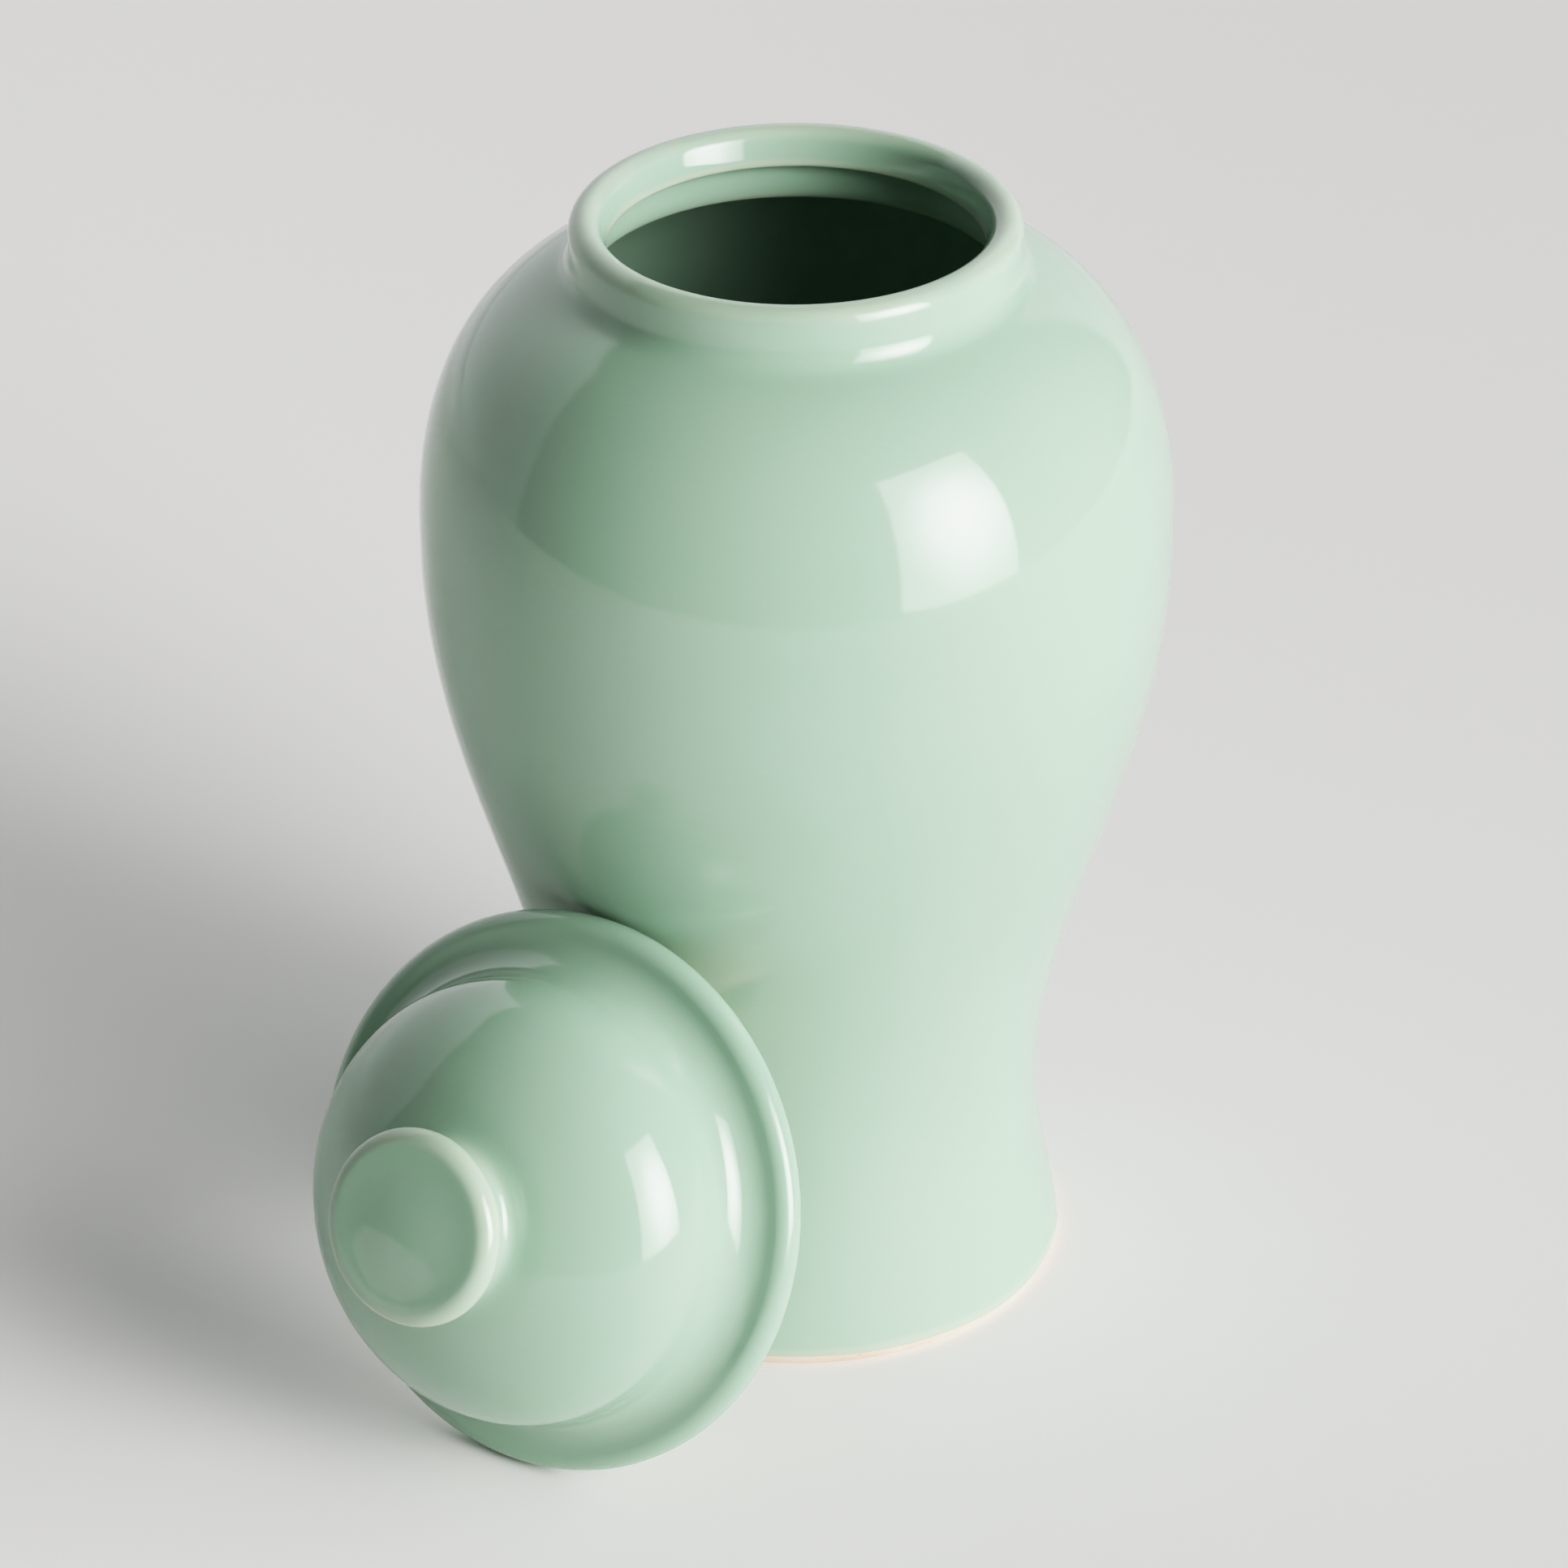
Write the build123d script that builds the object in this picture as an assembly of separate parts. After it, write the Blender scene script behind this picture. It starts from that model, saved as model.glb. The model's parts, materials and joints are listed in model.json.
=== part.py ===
"""A lidded temple jar in green-glazed stoneware, with its lid off and leaning on the jar.

Frame: millimetres, +Z up, origin on the jar's axis in the plane that the foot rests on.
Every piece is turned about an axis, so each outline is drawn once as (radius, height) and revolved.
The lid is drawn upright about its own axis, with height 0 at the centre of its rolled flange edge,
and is then leant with the flange edge standing on the floor and touching the jar's flank.
"""
import math
import os

from build123d import *

# Jar, outside: the glazed wall runs foot, waist, belly, shoulder and collar
GLAZE_LINE = 1.8            # height of the bare clay band under the glaze
FOOT_RADIUS = 54.9          # at the glaze line
FOOT_FLARE = 10.0           # degrees from upright
WAIST_RADIUS = 49.7
WAIST_HEIGHT = 39.6
BELLY_RADIUS = 75.0
BELLY_HEIGHT = 164.3
SHOULDER_RADIUS = 47.6      # where the shoulder turns up into the collar
SHOULDER_HEIGHT = 221.1
SHOULDER_SLOPE = 25.0       # degrees from level
LIP_ROLL = 3.2              # radius of the rounded lip
LIP_RADIUS = 41.25          # centre of that roll
LIP_HEIGHT = 230.4

# How full each stretch of the wall is: curve handles as a share of the stretch's length
FOOT_FULLNESS = (0.46, 0.37)
FLANK_FULLNESS = (0.332, 0.383)
SHOULDER_FULLNESS = (0.137, 0.514)

# Jar, inside
WALL = 4.8
THROAT_RADIUS = 37.0        # the narrowest part of the mouth, under the lip
THROAT_HEIGHT = 226.8
THROAT_EDGE = 0.7           # radius on the throat's lower edge
THROAT_EDGE_END = 270.0     # degrees round that edge where the undercut begins
THROAT_FULLNESS = (0.3, 0.3)
LIP_INNER_END = 168.0       # degrees round the lip's roll where the throat wall begins
UNDERCUT_RADIUS = 40.0      # inside wall under the throat
UNDERCUT_HEIGHT = 221.2
UNDERCUT_HEADING = -85.0    # degrees from level, outwards and down
UNDERCUT_FULLNESS = (0.4, 0.4)
INNER_SHOULDER_FULLNESS = (0.8, 0.35)
INNER_FOOT_FLARE = 0.4      # how much wider the inside is just above its floor than at the waist
INNER_FOOT_FULLNESS = (0.33, 0.33)
FLOOR_HEIGHT = 10.0
FLOOR_CORNER = 14.0         # radius between inside floor and wall
FLOOR_CORNER_FULLNESS = (0.4, 0.4)

# Foot ring, bare clay
RECESS_RADIUS = 46.5        # inside of the ring, round the hollow under the jar
RECESS_DEPTH = 4.0
FOOT_BEVEL = 0.6

# Lid, about its own axis
FLANGE_RADIUS = 56.3
FLANGE_ROLL = 2.6           # radius of the flange's rolled edge, on its under side
FLANGE_CREST = 3.6          # radius of the same edge's upper side
FLANGE_CREST_END = 93.0     # degrees round the upper side where the cove begins
COVE_FULLNESS = (0.36, 0.45)
DOME_RADIUS = 44.6
DOME_RISE = 28.3            # from the widest level up to the unpierced crown
DOME_WIDEST = 15.3          # height of the widest level
DOME_TUCK = 3.0             # degrees round the dome's ellipse, below the widest level
LID_WALL = 4.6
LID_MOUTH_HEADING = 250.0   # degrees of travel where the inside wall meets the locating ring
LID_MOUTH_FULLNESS = (0.4, 0.3)
KNOB_NECK_RADIUS = 15.6
KNOB_NECK_HEIGHT = 45.2
KNOB_FILLET_RADIUS = 24.0   # where the neck's fillet meets the dome
KNOB_FILLET_FULLNESS = (0.5, 0.5)
KNOB_RADIUS = 19.6
KNOB_EDGE = 3.3             # radius on the knob's rim
KNOB_EDGE_HEIGHT = 49.9
KNOB_EDGE_START = -20.0     # degrees round the rim where the neck's curve joins it
KNOB_NECK_FULLNESS = (0.45, 0.35)
KNOB_FACE_FULLNESS = (0.4, 0.4)
KNOB_CROWN = 0.7            # rise of the knob's face from its rim to its middle
RING_RADIUS = 35.9          # outside of the locating ring
RING_THICKNESS = 4.5
RING_DEPTH = 9.4
RING_BEVEL = 0.8

# How the lid leans
LEAN_DIRECTION = -124.2     # degrees round +Z, from the jar towards the lid
LEAN_RISE = 19.9            # degrees that the lid's axis rises above level
LEAN_GAP = 0.08             # clearance left at the touching point
LEAN_STEPS = 30             # how many times the lid is moved nearer while finding that point

# Headings of travel along an outline, in degrees from outwards round towards up
UP = 90.0
INWARD = 180.0
DOWN = 270.0


def heading(degrees):
    """Unit direction at an angle from the radius axis towards the height axis."""
    return Vector(math.cos(math.radians(degrees)), math.sin(math.radians(degrees)))


def on_circle(centre, radius, degrees):
    return Vector(*centre) + heading(degrees) * radius


def sweep(start, leaving, end, arriving, fullness):
    """A smooth curve between two points, leaving and arriving at the given headings."""
    start, end = Vector(*start), Vector(*end)
    reach = (end - start).length
    return Bezier(
        start,
        start + heading(leaving) * reach * fullness[0],
        end - heading(arriving) * reach * fullness[1],
        end,
    )


def arc(centre, radius, first, last):
    """An arc of a circle from one angle to another, in degrees."""
    middle = (first + last) / 2
    return ThreePointArc(*(on_circle(centre, radius, angle) for angle in (first, middle, last)))


def path(*points):
    return list(Polyline(*(Vector(*p) for p in points)).edges())


def turned(*edges):
    """The solid that a closed outline in (radius, height) sweeps about the Z axis."""
    return revolve(Plane.XZ * make_face(list(edges)), Axis.Z)


def wall_curves(inset):
    """The jar's wall from foot to shoulder, moved inwards along its normal by inset."""
    shoulder_normal = heading(90 - SHOULDER_SLOPE)
    foot = Vector(FOOT_RADIUS - inset, GLAZE_LINE)
    waist = Vector(WAIST_RADIUS - inset, WAIST_HEIGHT)
    belly = Vector(BELLY_RADIUS - inset, BELLY_HEIGHT)
    shoulder = Vector(SHOULDER_RADIUS, SHOULDER_HEIGHT) - shoulder_normal * inset
    return [
        sweep(foot, UP + FOOT_FLARE, waist, UP, FOOT_FULLNESS),
        sweep(waist, UP, belly, UP, FLANK_FULLNESS),
        sweep(belly, UP, shoulder, INWARD - SHOULDER_SLOPE, SHOULDER_FULLNESS),
    ]


def lip_curves():
    """Up the collar from the shoulder, over the rolled lip and down to the throat."""
    collar_radius = LIP_RADIUS + LIP_ROLL
    turn = 90 - SHOULDER_SLOPE
    fillet = (SHOULDER_RADIUS - collar_radius) / (1 - math.cos(math.radians(turn)))
    fillet_centre = (collar_radius + fillet, SHOULDER_HEIGHT + fillet * math.sin(math.radians(turn)))
    inner_end = on_circle((LIP_RADIUS, LIP_HEIGHT), LIP_ROLL, LIP_INNER_END)
    edge_centre = (THROAT_RADIUS + THROAT_EDGE, THROAT_HEIGHT)
    return [
        arc(fillet_centre, fillet, 180 + turn, 180),
        Line((collar_radius, fillet_centre[1]), (collar_radius, LIP_HEIGHT)),
        arc((LIP_RADIUS, LIP_HEIGHT), LIP_ROLL, 0, LIP_INNER_END),
        sweep(inner_end, LIP_INNER_END + 90, (THROAT_RADIUS, THROAT_HEIGHT), DOWN, THROAT_FULLNESS),
        arc(edge_centre, THROAT_EDGE, INWARD, THROAT_EDGE_END),
    ]


def make_jar_body():
    """The glazed jar: foot flare, waist, belly, shoulder, collar and lip, hollow inside."""
    outside = wall_curves(0)
    lip = lip_curves()
    inside = wall_curves(WALL)
    waist_in = inside[1] @ 0
    shoulder_in = inside[2] @ 1
    undercut = Vector(UNDERCUT_RADIUS, UNDERCUT_HEIGHT)
    throat_end = lip[-1] @ 1
    wall_foot = Vector(waist_in.X + INNER_FOOT_FLARE, FLOOR_HEIGHT + FLOOR_CORNER)
    floor_edge = Vector(wall_foot.X - FLOOR_CORNER, FLOOR_HEIGHT)
    return turned(
        *outside,
        *lip,
        sweep(throat_end, THROAT_EDGE_END + 90, undercut, UNDERCUT_HEADING, UNDERCUT_FULLNESS),
        sweep(undercut, UNDERCUT_HEADING, shoulder_in, -SHOULDER_SLOPE, INNER_SHOULDER_FULLNESS),
        inside[2],
        inside[1],
        sweep(waist_in, DOWN, wall_foot, DOWN, INNER_FOOT_FULLNESS),
        sweep(wall_foot, DOWN, floor_edge, INWARD, FLOOR_CORNER_FULLNESS),
        *path(floor_edge, (0, FLOOR_HEIGHT), (0, RECESS_DEPTH), (RECESS_RADIUS, RECESS_DEPTH)),
        Line((RECESS_RADIUS, RECESS_DEPTH), (FOOT_RADIUS, GLAZE_LINE)),
    )


def make_jar_foot_ring():
    """The bare clay ring that the jar stands on, joined to the body along a shallow cone."""
    sole_radius = FOOT_RADIUS - 2 * FOOT_BEVEL
    return turned(
        *path(
            (RECESS_RADIUS, RECESS_DEPTH),
            (RECESS_RADIUS, 0),
            (sole_radius, 0),
            (sole_radius + FOOT_BEVEL, FOOT_BEVEL),
            (FOOT_RADIUS, GLAZE_LINE),
            (RECESS_RADIUS, RECESS_DEPTH),
        )
    )


def dome_point(radius, rise, degrees):
    return Vector(
        radius * math.cos(math.radians(degrees)), DOME_WIDEST + rise * math.sin(math.radians(degrees))
    )


def dome_heading(radius, rise, degrees):
    """Heading of travel up the dome's ellipse."""
    t = math.radians(degrees)
    return math.degrees(math.atan2(rise * math.cos(t), -radius * math.sin(t)))


def dome_curve(radius, rise, first, last):
    """Part of the dome's elliptical outline, from one angle up to another."""
    return EllipticalCenterArc((0, DOME_WIDEST), radius, rise, first, arc_size=last - first)


def make_lid_shell():
    """The domed lid with its cove and rolled flange, hollow underneath, up to the knob's neck."""
    inner_radius, inner_rise = DOME_RADIUS - LID_WALL, DOME_RISE - LID_WALL
    underside = -FLANGE_ROLL
    roll_centre = (FLANGE_RADIUS - FLANGE_ROLL, 0)
    crest_centre = (FLANGE_RADIUS - FLANGE_CREST, 0)
    crest = on_circle(crest_centre, FLANGE_CREST, FLANGE_CREST_END)
    tuck = dome_point(DOME_RADIUS, DOME_RISE, -DOME_TUCK)
    tuck_heading = dome_heading(DOME_RADIUS, DOME_RISE, -DOME_TUCK)
    fillet_angle = math.degrees(math.acos(KNOB_FILLET_RADIUS / DOME_RADIUS))
    fillet_foot = dome_point(DOME_RADIUS, DOME_RISE, fillet_angle)
    fillet_heading = dome_heading(DOME_RADIUS, DOME_RISE, fillet_angle)
    neck = Vector(KNOB_NECK_RADIUS, KNOB_NECK_HEIGHT)
    mouth = Vector(RING_RADIUS - RING_THICKNESS, underside)
    inner_widest = Vector(inner_radius, DOME_WIDEST)
    return turned(
        Line(mouth, (roll_centre[0], underside)),
        arc(roll_centre, FLANGE_ROLL, -90, 0),
        arc(crest_centre, FLANGE_CREST, 0, FLANGE_CREST_END),
        sweep(crest, FLANGE_CREST_END + 90, tuck, tuck_heading, COVE_FULLNESS),
        dome_curve(DOME_RADIUS, DOME_RISE, -DOME_TUCK, fillet_angle),
        sweep(fillet_foot, fillet_heading, neck, UP, KNOB_FILLET_FULLNESS),
        *path(neck, (0, KNOB_NECK_HEIGHT), (0, DOME_WIDEST + inner_rise)),
        dome_curve(inner_radius, inner_rise, 0, 90),
        sweep(inner_widest, DOWN, mouth, LID_MOUTH_HEADING, LID_MOUTH_FULLNESS),
    )


def make_lid_locating_ring():
    """The ring under the flange that drops inside the jar's throat and keeps the lid central."""
    inner = RING_RADIUS - RING_THICKNESS
    top = -FLANGE_ROLL
    bottom = top - RING_DEPTH
    return turned(
        *path(
            (inner, top),
            (inner, bottom + RING_BEVEL),
            (inner + RING_BEVEL, bottom),
            (RING_RADIUS - RING_BEVEL, bottom),
            (RING_RADIUS, bottom + RING_BEVEL),
            (RING_RADIUS, top),
            (inner, top),
        )
    )


def make_lid_knob():
    """The button knob on its short neck, with a rounded rim and a faintly crowned face."""
    edge_centre = (KNOB_RADIUS - KNOB_EDGE, KNOB_EDGE_HEIGHT)
    neck = Vector(KNOB_NECK_RADIUS, KNOB_NECK_HEIGHT)
    rim_start = on_circle(edge_centre, KNOB_EDGE, KNOB_EDGE_START)
    face_edge = on_circle(edge_centre, KNOB_EDGE, 90)
    face_middle = Vector(0, face_edge.Y + KNOB_CROWN)
    return turned(
        *path(face_middle, (0, KNOB_NECK_HEIGHT), neck),
        sweep(neck, UP, rim_start, KNOB_EDGE_START + 90, KNOB_NECK_FULLNESS),
        arc(edge_centre, KNOB_EDGE, KNOB_EDGE_START, 90),
        sweep(face_edge, INWARD, face_middle, INWARD, KNOB_FACE_FULLNESS),
    )


def lean_centre():
    """Flange centre as (distance out from the jar's axis, height), standing on its edge and
    moved in until the flange's upper edge is LEAN_GAP from the jar's flank."""
    flank = Wire(wall_curves(0))
    spine = FLANGE_RADIUS - FLANGE_ROLL
    height = FLANGE_ROLL + spine * math.cos(math.radians(LEAN_RISE))
    upper_edge = heading(90 + LEAN_RISE) * spine
    distance = BELLY_RADIUS + FLANGE_RADIUS
    for _ in range(LEAN_STEPS):
        gap = flank.distance_to(Vertex(*(Vector(distance, height) + upper_edge))) - FLANGE_ROLL
        distance -= gap - LEAN_GAP
    return distance, height


def leaning_plane():
    """Where the upright lid goes: its origin and axis in the jar's frame."""
    distance, height = lean_centre()
    outward = Vector(1, 0, 0).rotate(Axis.Z, LEAN_DIRECTION)
    axis = outward * math.cos(math.radians(LEAN_RISE)) + Vector(0, 0, math.sin(math.radians(LEAN_RISE)))
    sideways = Vector(0, 0, 1).cross(outward)
    return Plane(origin=outward * distance + Vector(0, 0, height), x_dir=sideways, z_dir=axis)


def main():
    os.makedirs("parts", exist_ok=True)
    leaning = leaning_plane()
    pieces = {
        "jar_body": make_jar_body(),
        "jar_foot_ring": make_jar_foot_ring(),
        "lid_shell": leaning * make_lid_shell(),
        "lid_locating_ring": leaning * make_lid_locating_ring(),
        "lid_knob": leaning * make_lid_knob(),
    }
    for name, piece in pieces.items():
        export_step(piece, f"parts/{name}.step")


main()
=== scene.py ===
"""Looks for the lidded temple jar in green-glazed stoneware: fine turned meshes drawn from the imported
frame's own outlines, celadon glaze and bare clay, a pale floor, a tall softbox and the camera.

Metres, +Z up, origin on the jar's axis in the plane that the foot rests on.
"""
import json
import math

import bmesh
import bpy
import numpy as np
from mathutils import Matrix, Vector


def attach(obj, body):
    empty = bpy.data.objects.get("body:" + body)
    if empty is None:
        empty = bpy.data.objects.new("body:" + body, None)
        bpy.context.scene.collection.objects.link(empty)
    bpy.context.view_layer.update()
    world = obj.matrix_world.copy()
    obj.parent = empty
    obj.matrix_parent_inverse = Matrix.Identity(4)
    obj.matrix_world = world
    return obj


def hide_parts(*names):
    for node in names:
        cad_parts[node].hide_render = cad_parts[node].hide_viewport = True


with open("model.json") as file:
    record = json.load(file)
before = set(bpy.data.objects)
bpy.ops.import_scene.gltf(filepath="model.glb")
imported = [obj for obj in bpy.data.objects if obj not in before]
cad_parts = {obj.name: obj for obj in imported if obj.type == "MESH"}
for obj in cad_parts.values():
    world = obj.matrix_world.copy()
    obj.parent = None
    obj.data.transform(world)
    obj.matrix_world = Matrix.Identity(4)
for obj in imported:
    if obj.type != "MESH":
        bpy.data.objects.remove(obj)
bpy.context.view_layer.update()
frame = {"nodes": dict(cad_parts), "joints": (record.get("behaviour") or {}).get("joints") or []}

MM = 0.001

# Reading the frame's outlines
ROUGH_SEAM = 0.015 * MM           # how near the seam's plane a vertex is, before the axis is centred
FINE_SEAM = 0.002 * MM            # and after
ON_AXIS = 1e-6                    # a smaller radius than this is on the axis
WELD_DECIMALS = 7                 # vertices that agree to this many decimals are one
WELD_DISTANCE = 1e-7

# Turned meshes
CORNER = math.radians(25)         # an outline that turns more than this at one point has a corner there
STEP_PER_RADIUS = 0.13            # spacing along an outline, as a share of its radius of curvature
FINEST_STEP = 0.14 * MM
COARSEST_STEP = 1.5 * MM
PACE_SAMPLES = 4000               # places along a stretch where the spacing is worked out
FLAT_SHARES = (0.7, 0.35, 0.0)    # radii, as shares, of the rings that close a flat end towards the axis
BEND_REACH = 1.6 * MM             # length over which the outline's curvature is averaged
WIDE_SEGMENTS = 192               # round the jar and the lid
SMALL_SEGMENTS = 128              # round the knob and the locating ring

# Hand-made unevenness. A wave is (count round, share, phase, twist per metre of height).
OVALITY = 0.22 * MM               # how far the wall falls short of a true circle
OVAL_WAVES = ((2, 0.30, 1.1, 6), (3, 0.20, -0.7, -11))
RIPPLE = 0.010 * MM               # throwing rings left by the fingers
RIPPLE_PITCH = 7.5 * MM
RIPPLE_WANDER = (2, 1.6, 0.4)     # count round, size and phase of the rings' own wander
RIPPLE_PATCH = (1, -0.9, 25)      # count round, phase and twist of the patches where they show
SMOOTH_MIDDLE = 20 * MM           # inside this radius the unevenness dies away
GLAZE_LINE_WANDER = 0.9 * MM      # how far the glaze stops short of the CAD's glaze line
GLAZE_LINE_WAVES = ((2, 0.24, 0.5), (5, 0.16, 2.1), (11, 0.07, 0.0))
GLAZE_LINE_REACH = 3.5 * MM       # height over which the wall follows that wander
GLAZE_LINE_DEPTH = 4 * MM         # only the wall this near the outside follows it
GLAZE_LINE_DRAW = 0.39            # how far the wall draws in for each metre that it is lifted

# Camera
CAMERA_AT = Vector((0.0, -1.254, 0.8281))
CAMERA_DOWN = math.radians(29.95)
CAMERA_LEFT = math.radians(0.124)
CAMERA_ROLL = math.radians(-0.235)
LENS_MM = 163.5
SENSOR_MM = 36.0
CAMERA_REACH = 60                 # metres

# Softbox
SOFTBOX_BEARING = math.radians(49)   # round +Z from the camera's side towards +X
SOFTBOX_DISTANCE = 5.0
SOFTBOX_WIDTH = 3.35
SOFTBOX_TOP = 4.85
SOFTBOX_BOTTOM = -0.78
SOFTBOX_POWER = 17.5
SOFTBOX_MIDDLE = (0.6, 0.6, 0.46)    # brightest place, as shares of the softbox's box
SOFTBOX_FALLOFF = (0.9, 0.9, 1.5)    # how fast it dims across and up
SOFTBOX_DIM_AT = 0.8                 # distance from that place where it has dimmed fully
SOFTBOX_GLOW = (1.5, 0.38)           # strength where brightest and where dimmed, as shares of the power
SOFTBOX_COLOUR = (1.0, 0.985, 0.97, 1)

# Side light
SIDE_LIGHT_AT = Vector((5.33, -0.18, 2.25))
SIDE_LIGHT_SIZE = 4.0
SIDE_LIGHT_WATTS = 235.0

# The room and the pale wall that the glaze mirrors. Bearings run round +Z from the camera's side.
WALL_END = math.radians(-90.5)       # bearing of the left wall's end at the horizon
WALL_END_SOFTNESS = (math.radians(2), math.radians(1))
WALL_END_SLOPE = math.radians(25)    # how far that end leans back, at 45 degrees up
RIGHT_WALL_END = (math.radians(140), math.radians(146))
WALL_TOP = (math.radians(46), math.radians(49))
WALL_BEARINGS = (math.radians(92), math.radians(145))
WALL_HEIGHTS = (math.radians(-2), math.radians(38))
WALL_GLOW_BY_BEARING = (0.52, 1.3)   # from the wall's ends to straight behind
WALL_GLOW_BY_HEIGHT = (0.90, 1.15)   # from the horizon to the wall's top
WALL_GLOW_UNSEEN = 0.8               # the same wall's strength for light that isn't mirrored
WALL_COLOUR = (0.98, 0.99, 1.0, 1)
ROOM_GLOW = (0.02, 0.05)             # the dark room, from below the floor to overhead
ROOM_HEIGHTS = (-0.2, 1.0)
BACKDROP_COLOUR = (0.66, 0.655, 0.645, 1)

# Floor
FLOOR_CENTRE = (0.0, 1.2)
FLOOR_RADIUS = 2.08               # to the front edge that the glaze mirrors
FAR_FLOOR_RADIUS = 12.0
FLOOR_SEGMENTS = 192
PAPER_PAINTED_LIGHT_REACH = (-0.28, 0.30)       # painted light and shade: the paper is lighter at the left and darker at the right, as uneven light on the floor would make it
PAPER_PAINTED_LIGHT_LEFT = (0.925, 0.917, 0.903, 1)
PAPER_PAINTED_SHADE_RIGHT = (0.755, 0.748, 0.737, 1)
PAPER_MOTTLE = (0.87, 0.862, 0.848, 1)
PAINTED_GLOW_REACH = (0.62, 1.0)         # painted glow: where the paper, out of the camera's sight, emits faint light in place of the wall's light falling on it
PAINTED_GLOW_STRENGTH = 0.3

# Film
FILM_WHITE = 5.0                  # scene brightness that prints as pure white
FILM_CURVE = [(0.05, 0.035), (0.15, 0.138), (0.4, 0.40), (0.7, 0.60), (1.0, 0.72), (1.6, 0.86), (2.8, 0.95)]


# Reading outlines -----------------------------------------------------------------------------------


class Turning:
    """An axis that pieces were turned about: a point on it, its direction and two directions across."""

    def __init__(self, point, direction):
        self.point = np.array(point, float)
        self.along = np.array(direction, float) / np.linalg.norm(direction)
        upright = abs(self.along[2]) > 0.999
        side = np.array([1.0, 0, 0]) if upright else np.cross([0, 0, 1.0], self.along)
        self.side = side / np.linalg.norm(side)
        self.across = np.cross(self.along, self.side)

    def cylindrical(self, points):
        """Radius, height, and distance off the half plane of the seam, for each point."""
        offset = points - self.point
        return (
            np.hypot(offset @ self.side, offset @ self.across),
            offset @ self.along,
            np.where(offset @ self.side > -ON_AXIS, offset @ self.across, np.inf),
        )

    def place(self, radius, height, angle):
        """Points in the frame for arrays of radius, height and angle."""
        return (
            self.point
            + (radius * np.cos(angle))[..., None] * self.side
            + (radius * np.sin(angle))[..., None] * self.across
            + height[..., None] * self.along
        )


def mesh_arrays(node):
    """Welded vertices and triangles of a CAD node."""
    mesh = frame["nodes"][node].data
    mesh.calc_loop_triangles()
    points = np.zeros(len(mesh.vertices) * 3)
    mesh.vertices.foreach_get("co", points)
    corners = np.zeros(len(mesh.loop_triangles) * 3, int)
    mesh.loop_triangles.foreach_get("vertices", corners)
    rounded = np.round(points.reshape(-1, 3), WELD_DECIMALS)
    welded, index = np.unique(rounded, axis=0, return_inverse=True)
    return welded, index.ravel()[corners].reshape(-1, 3)


def axis_through(node, direction):
    """The turning axis of a turned node: through its centroid, then centred on its seam vertices."""
    points, triangles = mesh_arrays(node)
    a, b, c = (points[triangles[:, i]] for i in range(3))
    volume = np.einsum("ij,ij->i", a, np.cross(b, c))
    centroid = ((a + b + c) * volume[:, None]).sum(0) / (4 * volume.sum())
    rough = Turning(centroid, direction)
    off_side, off_across = (points - centroid) @ rough.side, (points - centroid) @ rough.across
    seam = np.abs(off_across) < ROUGH_SEAM
    shift = rough.side * (off_side[seam].max() + off_side[seam].min()) / 2
    return Turning(centroid + shift + rough.across * np.median(off_across[seam]), direction)


def seam_outline(node, turning):
    """The node's outline as (radius, height) points in order, read along the seam of its turned faces."""
    points, triangles = mesh_arrays(node)
    radius, height, off_seam = turning.cylindrical(points)
    on_seam = np.abs(off_seam) < FINE_SEAM
    edges = np.concatenate([triangles[:, [0, 1]], triangles[:, [1, 2]], triangles[:, [2, 0]]])
    edges = np.unique(np.sort(edges[on_seam[edges].all(axis=1)], axis=1), axis=0)
    neighbours = {}
    for a, b in edges:
        neighbours.setdefault(a, []).append(b)
        neighbours.setdefault(b, []).append(a)
    ends = [v for v, near in neighbours.items() if len(near) == 1]
    chain = [min(ends, key=lambda v: height[v]) if ends else next(iter(neighbours))]
    while True:
        onward = [v for v in neighbours[chain[-1]] if v not in chain[-2:]]
        if not onward or onward[0] == chain[0]:
            break
        chain.append(onward[0])
    outline = np.column_stack([radius[chain], height[chain]])
    return outline if ends else np.vstack([outline, outline[:1]])


def length_along(points):
    return np.concatenate([[0], np.cumsum(np.linalg.norm(np.diff(points, axis=0), axis=1))])


def turns(points):
    """Signed angle turned at each inner point of a polyline."""
    heading = np.unwrap(np.arctan2(*np.diff(points, axis=0).T[::-1]))
    return np.diff(heading)


def smooth_stretch(points):
    """A stretch without corners, resampled along a cubic through its points, closer where it curls."""
    length = length_along(points)
    if len(points) == 2:
        count = max(2, int(np.ceil(length[-1] / COARSEST_STEP)) + 1)
        return points[0] + (points[1] - points[0]) * np.linspace(0, 1, count)[:, None]
    slope = np.gradient(points, length, axis=0, edge_order=2)
    reach = (length[2:] - length[:-2]) / 2
    curl = np.interp(length, length[1:-1], np.abs(turns(points)) / reach)
    step = np.clip(STEP_PER_RADIUS / np.maximum(curl, 1e-6), FINEST_STEP, COARSEST_STEP)
    fine = np.linspace(0, length[-1], PACE_SAMPLES)
    pace = np.concatenate([[0], np.cumsum(np.diff(fine) / np.interp(fine, length, step)[1:])])
    count = max(3, int(np.ceil(pace[-1])) + 1)
    where = np.interp(np.linspace(0, pace[-1], count), pace, fine)
    span = np.clip(np.searchsorted(length, where, side="right") - 1, 0, len(points) - 2)
    width = (length[span + 1] - length[span])[:, None]
    t = (where - length[span])[:, None] / width
    return (
        (1 + 2 * t) * (1 - t) ** 2 * points[span]
        + t * (1 - t) ** 2 * width * slope[span]
        + t**2 * (3 - 2 * t) * points[span + 1]
        + t**2 * (t - 1) * width * slope[span + 1]
    )


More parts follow.
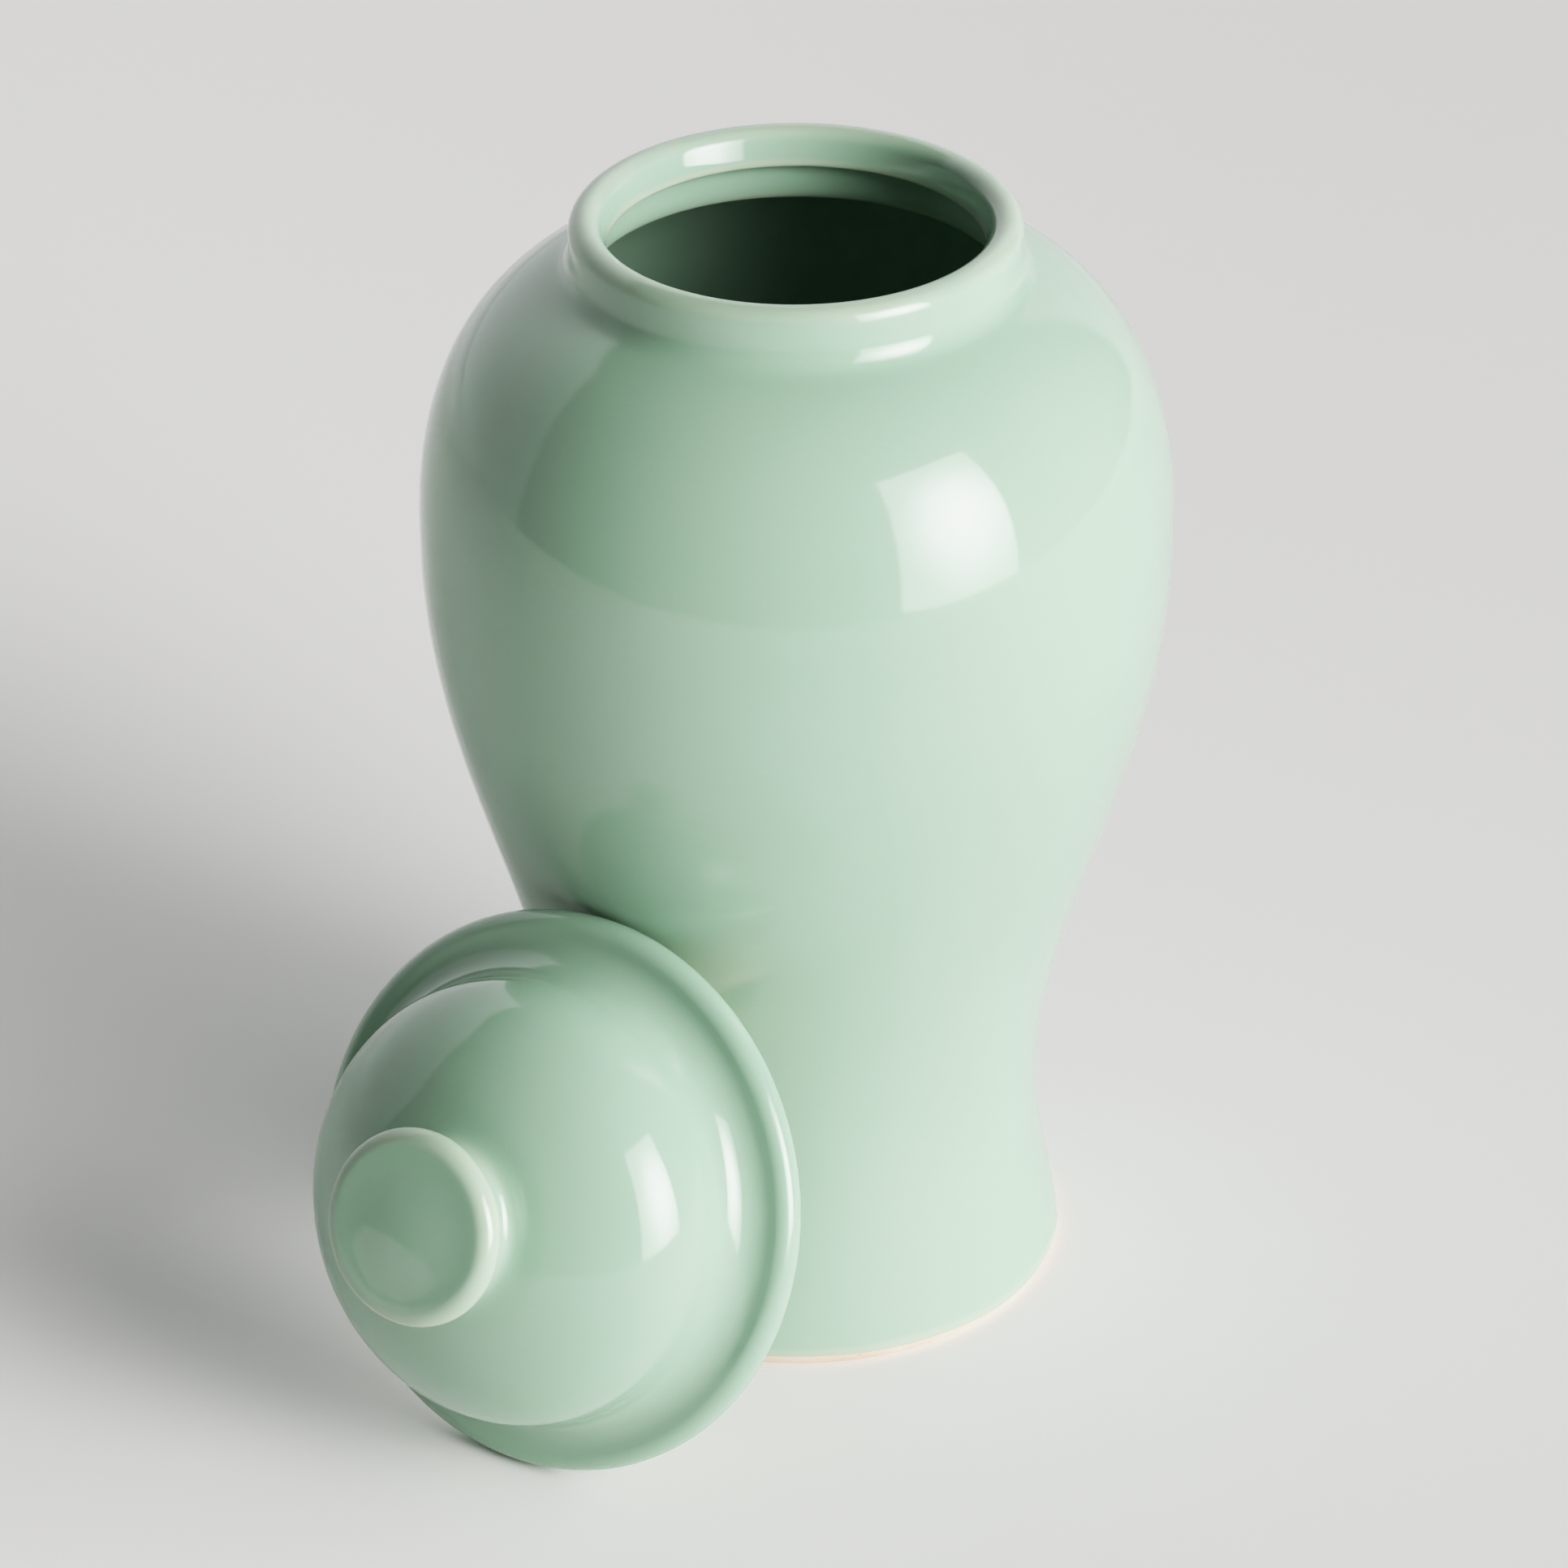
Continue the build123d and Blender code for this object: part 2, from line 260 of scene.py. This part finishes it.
def smooth_outline(points):
    """The whole outline resampled, and a mask of the points that stay sharp."""
    corners = np.flatnonzero(np.abs(turns(points)) > CORNER) + 1
    cuts = [0, *corners, len(points) - 1]
    stretches = [smooth_stretch(points[a : b + 1]) for a, b in zip(cuts, cuts[1:])]
    outline = np.vstack([s[:-1] for s in stretches] + [stretches[-1][-1:]])
    sharp = np.zeros(len(outline), bool)
    sharp[np.cumsum([len(s) - 1 for s in stretches])[:-1]] = True
    return outline, sharp


def flat_to_axis(end):
    return np.array([[end[0] * share, end[1]] for share in FLAT_SHARES])


def closed(points):
    """Carries the ends of an open outline to the axis, along the flat faces that close the piece."""
    if points[0, 0] > ON_AXIS:
        points = np.vstack([flat_to_axis(points[0])[::-1], points])
    if points[-1, 0] > ON_AXIS:
        points = np.vstack([points, flat_to_axis(points[-1])])
    return points


def bend(outline):
    """Curvature along the outline, averaged over BEND_REACH: positive where it bulges out."""
    length = length_along(outline)
    turn = np.zeros(len(outline))
    turn[1:-1] = turns(outline)
    weight = np.exp(-(((length[:, None] - length[None, :]) / BEND_REACH) ** 2))
    return (weight * turn[None, :]).sum(1) / (BEND_REACH * math.sqrt(math.pi))


# Turned meshes --------------------------------------------------------------------------------------


def unevenness(angle, height):
    """How far the wall lies inside the true turned shape, in metres, by angle and height."""
    oval = 0.5
    for count, share, phase, twist in OVAL_WAVES:
        oval = oval + share * np.cos(count * angle + phase + twist * height)
    count, size, phase = RIPPLE_WANDER
    wander = size * np.sin(count * angle + phase)
    ring = 0.5 + 0.5 * np.sin(2 * np.pi * height / RIPPLE_PITCH + wander)
    count, phase, twist = RIPPLE_PATCH
    patch = 0.5 + 0.5 * np.cos(count * angle + phase + twist * height)
    return OVALITY * oval + RIPPLE * ring * patch


def glaze_line_lift(angle, radius, height, glaze_line):
    """How far a point of the wall is lifted to follow the wandering edge of the glaze."""
    line_radius, line_height = glaze_line
    wave = 0.5 + sum(share * np.sin(count * angle + phase) for count, share, phase in GLAZE_LINE_WAVES)
    lift = GLAZE_LINE_WANDER * wave * np.clip(1 - np.abs(height - line_height) / GLAZE_LINE_REACH, 0, 1)
    return lift * np.clip(height / line_height, 0, 1) * (radius > line_radius - GLAZE_LINE_DEPTH)


def turned_points(outline, turning, segments, glaze_line):
    """Points of the turned wall, ring by ring, with its unevenness."""
    angle = np.linspace(0, 2 * np.pi, segments, endpoint=False)
    radius, height = (np.repeat(outline[:, [i]], segments, axis=1) for i in (0, 1))
    angle = np.broadcast_to(angle, radius.shape)
    radius = radius - unevenness(angle, height) * np.clip(radius / SMOOTH_MIDDLE, 0, 1)
    if glaze_line is not None:
        lift = glaze_line_lift(angle, radius, height, glaze_line)
        height = height + lift
        radius = radius - lift * GLAZE_LINE_DRAW
    return turning.place(np.maximum(radius, 0), height, angle)


def mark_creases(mesh, rings, sharp):
    """Marks the edges along each ring where the outline has a corner."""
    ring_of = {v: i for i, ring in enumerate(rings) for v in ring}
    ends = np.zeros(len(mesh.edges) * 2, int)
    mesh.edges.foreach_get("vertices", ends)
    flags = [bool(sharp[ring_of[a]] and ring_of[a] == ring_of[b]) for a, b in ends.reshape(-1, 2)]
    mesh.attributes.new("sharp_edge", "BOOLEAN", "EDGE").data.foreach_set("value", flags)


def turned_mesh(name, outline, sharp, turning, segments, glaze_line):
    """A mesh turned from an outline, with the bend of the outline kept on its points."""
    on_axis = outline[:, 0] < ON_AXIS
    rings, vertices = [], []
    for ring, single in zip(turned_points(outline, turning, segments, glaze_line), on_axis):
        first = len(vertices)
        rings.append([first] * segments if single else list(range(first, first + segments)))
        vertices.extend(ring[:1] if single else ring)
    faces = []
    for low, high in zip(rings, rings[1:]):
        for j in range(segments):
            k = (j + 1) % segments
            faces.append(tuple(dict.fromkeys([low[j], low[k], high[k], high[j]])))
    mesh = bpy.data.meshes.new(name)
    mesh.from_pydata([tuple(v) for v in vertices], [], [f for f in faces if len(f) > 2])
    mesh.validate()
    mesh.polygons.foreach_set("use_smooth", np.ones(len(mesh.polygons), bool))
    per_vertex = np.repeat(bend(outline), np.where(on_axis, 1, segments))
    mesh.attributes.new("bend", "FLOAT", "POINT").data.foreach_set("value", per_vertex)
    mark_creases(mesh, rings, sharp)
    mesh.update()
    return mesh


def finish_mesh(mesh, weld):
    """Joins the two ends of a ring-shaped piece, and turns every face to point out."""
    work = bmesh.new()
    work.from_mesh(mesh)
    if weld:
        bmesh.ops.remove_doubles(work, verts=work.verts, dist=WELD_DISTANCE)
    bmesh.ops.recalc_face_normals(work, faces=work.faces)
    work.to_mesh(mesh)
    work.free()


def build_turned_piece(node, turning, segments, material, body, glaze_line=None):
    """The finely turned piece that stands for a CAD node."""
    points = seam_outline(node, turning)
    is_loop = np.allclose(points[0], points[-1])
    outline, sharp = smooth_outline(points if is_loop else closed(points))
    mesh = turned_mesh(node + "_turned", outline, sharp, turning, segments, glaze_line)
    finish_mesh(mesh, weld=is_loop)
    piece = bpy.data.objects.new(node + "_turned", mesh)
    bpy.context.scene.collection.objects.link(piece)
    mesh.materials.append(material)
    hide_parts(node)
    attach(piece, body)


# Materials ------------------------------------------------------------------------------------------


class Nodes:
    """Short calls for building a node tree."""

    def __init__(self, tree):
        self.tree = tree

    def add(self, kind, **settings):
        node = self.tree.nodes.new(kind)
        for key, value in settings.items():
            setattr(node, key, value)
        return node

    def link(self, source, target):
        self.tree.links.new(source, target)

    def feed(self, socket, value):
        if isinstance(value, bpy.types.NodeSocket):
            self.link(value, socket)
        else:
            socket.default_value = value

    def coordinates(self, kind):
        return self.add("ShaderNodeTexCoord").outputs[kind]

    def split(self, vector):
        """The x, y and z of a vector."""
        node = self.add("ShaderNodeSeparateXYZ")
        self.link(vector, node.inputs[0])
        return node.outputs

    def math(self, operation, a, b=0.0, clamp=False):
        node = self.add("ShaderNodeMath", operation=operation, use_clamp=clamp)
        self.feed(node.inputs[0], a)
        self.feed(node.inputs[1], b)
        return node.outputs[0]

    def vector_math(self, operation, a, b):
        node = self.add("ShaderNodeVectorMath", operation=operation)
        self.feed(node.inputs[0], a)
        self.feed(node.inputs[1], b)
        return node.outputs["Vector"]

    def length(self, vector):
        node = self.add("ShaderNodeVectorMath", operation="LENGTH")
        self.link(vector, node.inputs[0])
        return node.outputs["Value"]

    def remap(self, value, low, high, to_low=0.0, to_high=1.0):
        """A smooth step from to_low to to_high as the value goes from low to high."""
        node = self.add("ShaderNodeMapRange", interpolation_type="SMOOTHSTEP")
        for socket, given in zip(node.inputs, (value, low, high, to_low, to_high)):
            self.feed(socket, given)
        return node.outputs[0]

    def mix(self, share, a, b):
        node = self.add("ShaderNodeMix", data_type="RGBA")
        self.feed(node.inputs[0], share)
        self.feed(node.inputs[6], a)
        self.feed(node.inputs[7], b)
        return node.outputs[2]

    def noise(self, vector, per_metre, detail=3.0, roughness=0.5):
        node = self.add("ShaderNodeTexNoise")
        self.feed(node.inputs["Vector"], vector)
        node.inputs["Scale"].default_value = per_metre
        node.inputs["Detail"].default_value = detail
        node.inputs["Roughness"].default_value = roughness
        return node.outputs["Fac"]

    def bump(self, height, strength, distance, surface):
        node = self.add("ShaderNodeBump")
        node.inputs["Strength"].default_value = strength
        node.inputs["Distance"].default_value = distance
        self.link(height, node.inputs["Height"])
        self.link(node.outputs["Normal"], surface.inputs["Normal"])


def new_material(name):
    material = bpy.data.materials.new(name)
    material.use_nodes = True
    tree = material.node_tree
    return material, Nodes(tree), tree.nodes["Principled BSDF"]


def iron_specks(nodes, place):
    """A few dark pin points: one cell of 14 in a scatter of points has one."""
    pits = nodes.add("ShaderNodeTexVoronoi", feature="F1")
    nodes.feed(pits.inputs["Vector"], place)
    pits.inputs["Scale"].default_value = 85
    near = nodes.remap(pits.outputs["Distance"], 0.012, 0.026, 1.0, 0.0)
    cell = nodes.add("ShaderNodeSeparateColor")
    nodes.link(pits.outputs["Color"], cell.inputs[0])
    return nodes.math("MULTIPLY", near, nodes.math("GREATER_THAN", cell.outputs[0], 0.93))


def celadon_glaze():
    """Clear green glaze: deeper where it pools in hollows, thin and creamy where it breaks over edges."""
    material, nodes, surface = new_material("celadon_glaze")
    place = nodes.coordinates("Object")
    curl = nodes.add("ShaderNodeAttribute", attribute_name="bend").outputs["Fac"]
    flow = nodes.noise(place, 55, 4)
    cloud = nodes.noise(place, 14, 3)
    grain = nodes.noise(place, 900, 2)
    edge = nodes.math("ADD", curl, nodes.remap(flow, 0.3, 0.7, -45, 45))
    thin = nodes.remap(edge, 130, 420)
    pool = nodes.remap(nodes.math("MULTIPLY", edge, -1.0), 25, 190)
    speck = iron_specks(nodes, place)
    green, pale_green = (0.285, 0.435, 0.320, 1), (0.305, 0.455, 0.340, 1)
    deep_green, cream = (0.22, 0.38, 0.26, 1), (0.50, 0.52, 0.40, 1)
    milky, iron = (0.42, 0.56, 0.45, 1), (0.10, 0.13, 0.09, 1)
    body = nodes.mix(nodes.remap(cloud, 0.3, 0.7), green, pale_green)
    body = nodes.mix(nodes.math("MULTIPLY", pool, 0.12), body, deep_green)
    body = nodes.mix(nodes.math("MULTIPLY", thin, 0.40), body, cream)
    body = nodes.mix(nodes.remap(grain, 0.62, 0.78, 0.0, 0.10), body, milky)
    body = nodes.mix(nodes.math("MULTIPLY", speck, 0.75), body, iron)
    nodes.link(body, surface.inputs["Base Color"])
    nodes.link(nodes.remap(flow, 0.3, 0.7, 0.055, 0.085), surface.inputs["Roughness"])
    surface.inputs["IOR"].default_value = 1.52
    surface.inputs["Subsurface Weight"].default_value = 0.18
    surface.inputs["Subsurface Radius"].default_value = (0.9, 1.3, 1.0)
    surface.inputs["Subsurface Scale"].default_value = 2.0 * MM
    peel = nodes.math("ADD", nodes.noise(place, 260, 2), nodes.math("MULTIPLY", speck, -1.5))
    nodes.bump(peel, 0.25, 0.05 * MM, surface)
    return material


def bare_clay():
    """Unglazed stoneware: warm cream, dry and fine-grained, with a few darker grains."""
    material, nodes, surface = new_material("bare_clay")
    place = nodes.coordinates("Object")
    stain = nodes.noise(place, 60, 4)
    grain = nodes.noise(place, 2600, 3, 0.7)
    dark_grain = nodes.remap(nodes.noise(place, 1500, 1), 0.74, 0.80)
    warm, buff = (0.66, 0.47, 0.34, 1), (0.74, 0.58, 0.44, 1)
    sand, iron = (0.80, 0.68, 0.55, 1), (0.22, 0.12, 0.07, 1)
    colour = nodes.mix(nodes.remap(stain, 0.3, 0.7), warm, buff)
    colour = nodes.mix(nodes.remap(grain, 0.35, 0.7, 0.0, 0.35), colour, sand)
    colour = nodes.mix(nodes.math("MULTIPLY", dark_grain, 0.6), colour, iron)
    nodes.link(colour, surface.inputs["Base Color"])
    nodes.link(nodes.remap(grain, 0.3, 0.7, 0.78, 0.92), surface.inputs["Roughness"])
    nodes.bump(grain, 0.5, 0.12 * MM, surface)
    return material


# Studio ---------------------------------------------------------------------------------------------


def disc_mesh(name, inner, outer):
    """A flat ring or disc at floor level, about FLOOR_CENTRE."""
    angle = np.linspace(0, 2 * np.pi, FLOOR_SEGMENTS, endpoint=False)
    circle = np.column_stack([np.cos(angle), np.sin(angle), np.zeros(FLOOR_SEGMENTS)])
    middle = np.array([*FLOOR_CENTRE, 0.0])
    vertices = [tuple(v) for v in middle + circle * outer]
    faces = [tuple(range(FLOOR_SEGMENTS))]
    if inner:
        vertices += [tuple(v) for v in middle + circle * inner]
        after = [(j + 1) % FLOOR_SEGMENTS for j in range(FLOOR_SEGMENTS)]
        faces = [(j, k, FLOOR_SEGMENTS + k, FLOOR_SEGMENTS + j) for j, k in enumerate(after)]
    mesh = bpy.data.meshes.new(name)
    mesh.from_pydata(vertices, [], faces)
    return mesh


def add_stage(name, mesh, material):
    stand = bpy.data.objects.new(name, mesh)
    bpy.context.scene.collection.objects.link(stand)
    mesh.materials.append(material)
    return stand


def floor_paper_painted_light():
    """Matt pale paper with painted light and shade, lighter at the left and darker at the right, and a faint
    painted glow where it would sweep up behind.
    """
    material, nodes, surface = new_material("floor_paper_painted_light")
    place = nodes.coordinates("Object")
    tone = nodes.noise(place, 9, 3)
    x, y, _ = nodes.split(place)
    # Painted light and shade: the paper's colour runs from lighter at the left to darker at the right.
    paper_with_painted_light = nodes.mix(nodes.remap(x, *PAPER_PAINTED_LIGHT_REACH), PAPER_PAINTED_LIGHT_LEFT, PAPER_PAINTED_SHADE_RIGHT)
    paper_with_painted_light = nodes.mix(nodes.remap(tone, 0.3, 0.7, 0.0, 0.05), paper_with_painted_light, PAPER_MOTTLE)
    nodes.link(paper_with_painted_light, surface.inputs["Base Color"])
    surface.inputs["Emission Color"].default_value = WALL_COLOUR
    # Painted glow: the paper itself emits faint wall-coloured light towards the back.
    nodes.link(nodes.remap(y, *PAINTED_GLOW_REACH, 0.0, PAINTED_GLOW_STRENGTH), surface.inputs["Emission Strength"])
    surface.inputs["Roughness"].default_value = 0.75
    surface.inputs["Specular IOR Level"].default_value = 0.25
    return material


def build_floor():
    """The near floor, which the glaze mirrors, and the floor beyond it, which it doesn't."""
    paper_with_painted_light = floor_paper_painted_light()
    add_stage("floor_near", disc_mesh("floor_near", 0, FLOOR_RADIUS), paper_with_painted_light)
    far = add_stage("floor_far", disc_mesh("floor_far", FLOOR_RADIUS, FAR_FLOOR_RADIUS), paper_with_painted_light)
    far.visible_glossy = False


def softbox_cloth():
    """The softbox's face, brightest near its middle."""
    material = bpy.data.materials.new("softbox_cloth")
    material.use_nodes = True
    material.node_tree.nodes.clear()
    nodes = Nodes(material.node_tree)
    offset = nodes.vector_math("SUBTRACT", nodes.coordinates("Generated"), SOFTBOX_MIDDLE)
    from_middle = nodes.length(nodes.vector_math("MULTIPLY", offset, SOFTBOX_FALLOFF))
    brightest, dimmest = (SOFTBOX_POWER * share for share in SOFTBOX_GLOW)
    emission = nodes.add("ShaderNodeEmission")
    emission.inputs["Color"].default_value = SOFTBOX_COLOUR
    nodes.link(nodes.remap(from_middle, 0.0, SOFTBOX_DIM_AT, brightest, dimmest), emission.inputs["Strength"])
    nodes.link(emission.outputs[0], nodes.add("ShaderNodeOutputMaterial").inputs[0])
    return material


def build_softbox():
    """The tall softbox at the front right, standing square to the jar and mirrored in the glaze."""
    sine, cosine = math.sin(SOFTBOX_BEARING), math.cos(SOFTBOX_BEARING)
    foot = Vector((sine, -cosine, 0)) * SOFTBOX_DISTANCE
    half = Vector((cosine, sine, 0)) * SOFTBOX_WIDTH / 2
    low, high = Vector((0, 0, SOFTBOX_BOTTOM)), Vector((0, 0, SOFTBOX_TOP))
    corners = [foot - half + low, foot + half + low, foot + half + high, foot - half + high]
    mesh = bpy.data.meshes.new("softbox")
    mesh.from_pydata([tuple(c) for c in corners], [], [(0, 1, 2, 3)])
    add_stage("softbox", mesh, softbox_cloth()).visible_camera = False


def build_side_light():
    """A broad light from the right that rounds the forms and isn't mirrored in the glaze."""
    light = bpy.data.lights.new("side_light", "AREA")
    light.size = SIDE_LIGHT_SIZE
    light.energy = SIDE_LIGHT_WATTS
    lamp = bpy.data.objects.new("side_light", light)
    bpy.context.scene.collection.objects.link(lamp)
    lamp.location = SIDE_LIGHT_AT
    lamp.rotation_mode = "QUATERNION"
    lamp.rotation_quaternion = (-SIDE_LIGHT_AT).to_track_quat("-Z", "Y")
    lamp.visible_glossy = False


def wall_extent(nodes, bearing, z):
    """1 where the pale wall stands and 0 elsewhere. Its left end leans back as it rises."""
    rise = nodes.math("MULTIPLY", *[nodes.math("MAXIMUM", z, 0.0)] * 2)
    tangent_squared = nodes.math("DIVIDE", rise, nodes.math("SUBTRACT", 1.001, rise))
    leaning = nodes.math("ADD", bearing, nodes.math("MULTIPLY", tangent_squared, WALL_END_SLOPE))
    before, after = WALL_END_SOFTNESS
    left_end = nodes.remap(leaning, WALL_END - before, WALL_END + after, 1.0, 0.0)
    left_half = nodes.math("MULTIPLY", left_end, nodes.math("LESS_THAN", bearing, 0.0))
    right_half = nodes.remap(bearing, *RIGHT_WALL_END)
    top = nodes.remap(z, *(math.sin(angle) for angle in WALL_TOP), 1.0, 0.0)
    return nodes.math("MULTIPLY", nodes.math("ADD", left_half, right_half, clamp=True), top)


def wall_glow(nodes, bearing, z, is_mirrored):
    """The pale wall's strength by bearing and height, weaker for light that isn't mirrored."""
    off_front = nodes.math("ABSOLUTE", bearing)
    by_bearing = nodes.remap(off_front, *WALL_BEARINGS, *WALL_GLOW_BY_BEARING)
    by_height = nodes.remap(z, *(math.sin(angle) for angle in WALL_HEIGHTS), *WALL_GLOW_BY_HEIGHT)
    mirrored = nodes.math("MULTIPLY", is_mirrored, 1 - WALL_GLOW_UNSEEN)
    return nodes.math(
        "MULTIPLY",
        nodes.math("MULTIPLY", by_bearing, by_height),
        nodes.math("ADD", WALL_GLOW_UNSEEN, mirrored),
    )


def build_world():
    """A dark room in front, a pale wall behind, and an even pale backdrop for the camera alone."""
    world = bpy.data.worlds.new("studio")
    bpy.context.scene.world = world
    world.use_nodes = True
    world.node_tree.nodes.clear()
    nodes = Nodes(world.node_tree)
    x, y, z = nodes.split(nodes.coordinates("Generated"))
    bearing = nodes.math("ARCTAN2", x, nodes.math("MULTIPLY", y, -1.0))
    ray = nodes.add("ShaderNodeLightPath").outputs
    glow = wall_glow(nodes, bearing, z, ray["Is Glossy Ray"])
    wall = nodes.math("MULTIPLY", wall_extent(nodes, bearing, z), glow)
    room = nodes.remap(z, *ROOM_HEIGHTS, *ROOM_GLOW)
    lit = nodes.add("ShaderNodeBackground")
    lit.inputs["Color"].default_value = WALL_COLOUR
    nodes.link(nodes.math("ADD", wall, room), lit.inputs["Strength"])
    seen = nodes.add("ShaderNodeBackground")
    seen.inputs["Color"].default_value = BACKDROP_COLOUR
    pick = nodes.add("ShaderNodeMixShader")
    nodes.link(ray["Is Camera Ray"], pick.inputs[0])
    nodes.link(lit.outputs[0], pick.inputs[1])
    nodes.link(seen.outputs[0], pick.inputs[2])
    nodes.link(pick.outputs[0], nodes.add("ShaderNodeOutputWorld").inputs[0])


def build_camera():
    yaw = Matrix.Rotation(CAMERA_LEFT, 3, "Z")
    pitch = Matrix.Rotation(math.pi / 2 - CAMERA_DOWN, 3, "X")
    roll = Matrix.Rotation(CAMERA_ROLL, 3, "Z")
    camera = bpy.data.objects.new("camera", bpy.data.cameras.new("camera"))
    bpy.context.scene.collection.objects.link(camera)
    camera.matrix_world = Matrix.Translation(CAMERA_AT) @ (yaw @ pitch @ roll).to_4x4()
    camera.data.lens = LENS_MM
    camera.data.sensor_width = SENSOR_MM
    camera.data.clip_end = CAMERA_REACH
    bpy.context.scene.camera = camera


def set_film_response():
    """A soft film curve: a gentle toe, and a shoulder that pales bright colours."""
    view = bpy.context.scene.view_settings
    view.view_transform = "Standard"
    view.use_curve_mapping = True
    mapping = view.curve_mapping
    mapping.white_level = (FILM_WHITE,) * 3
    all_channels = mapping.curves[3]
    for scene_value, shown in FILM_CURVE:
        all_channels.points.new(scene_value / FILM_WHITE, shown)
    mapping.update()


def build_jar(glaze, clay):
    jar = Turning((0, 0, 0), (0, 0, 1))
    ring = seam_outline("jar_foot_ring", jar)
    glaze_line = ring[np.argmax(ring[:, 0])]
    build_turned_piece("jar_body", jar, WIDE_SEGMENTS, glaze, "jar", glaze_line)
    build_turned_piece("jar_foot_ring", jar, WIDE_SEGMENTS, clay, "jar", glaze_line)


def build_lid(glaze, clay):
    lift = next(joint for joint in frame["joints"] if joint["name"] == "lid_lift")
    lid = axis_through("lid_shell", lift["axis"])
    build_turned_piece("lid_shell", lid, WIDE_SEGMENTS, glaze, "lid")
    build_turned_piece("lid_knob", lid, SMALL_SEGMENTS, glaze, "lid")
    build_turned_piece("lid_locating_ring", lid, SMALL_SEGMENTS, clay, "lid")


def main():
    glaze, clay = celadon_glaze(), bare_clay()
    build_jar(glaze, clay)
    build_lid(glaze, clay)
    build_floor()
    build_softbox()
    build_side_light()
    build_world()
    build_camera()
    set_film_response()


main()
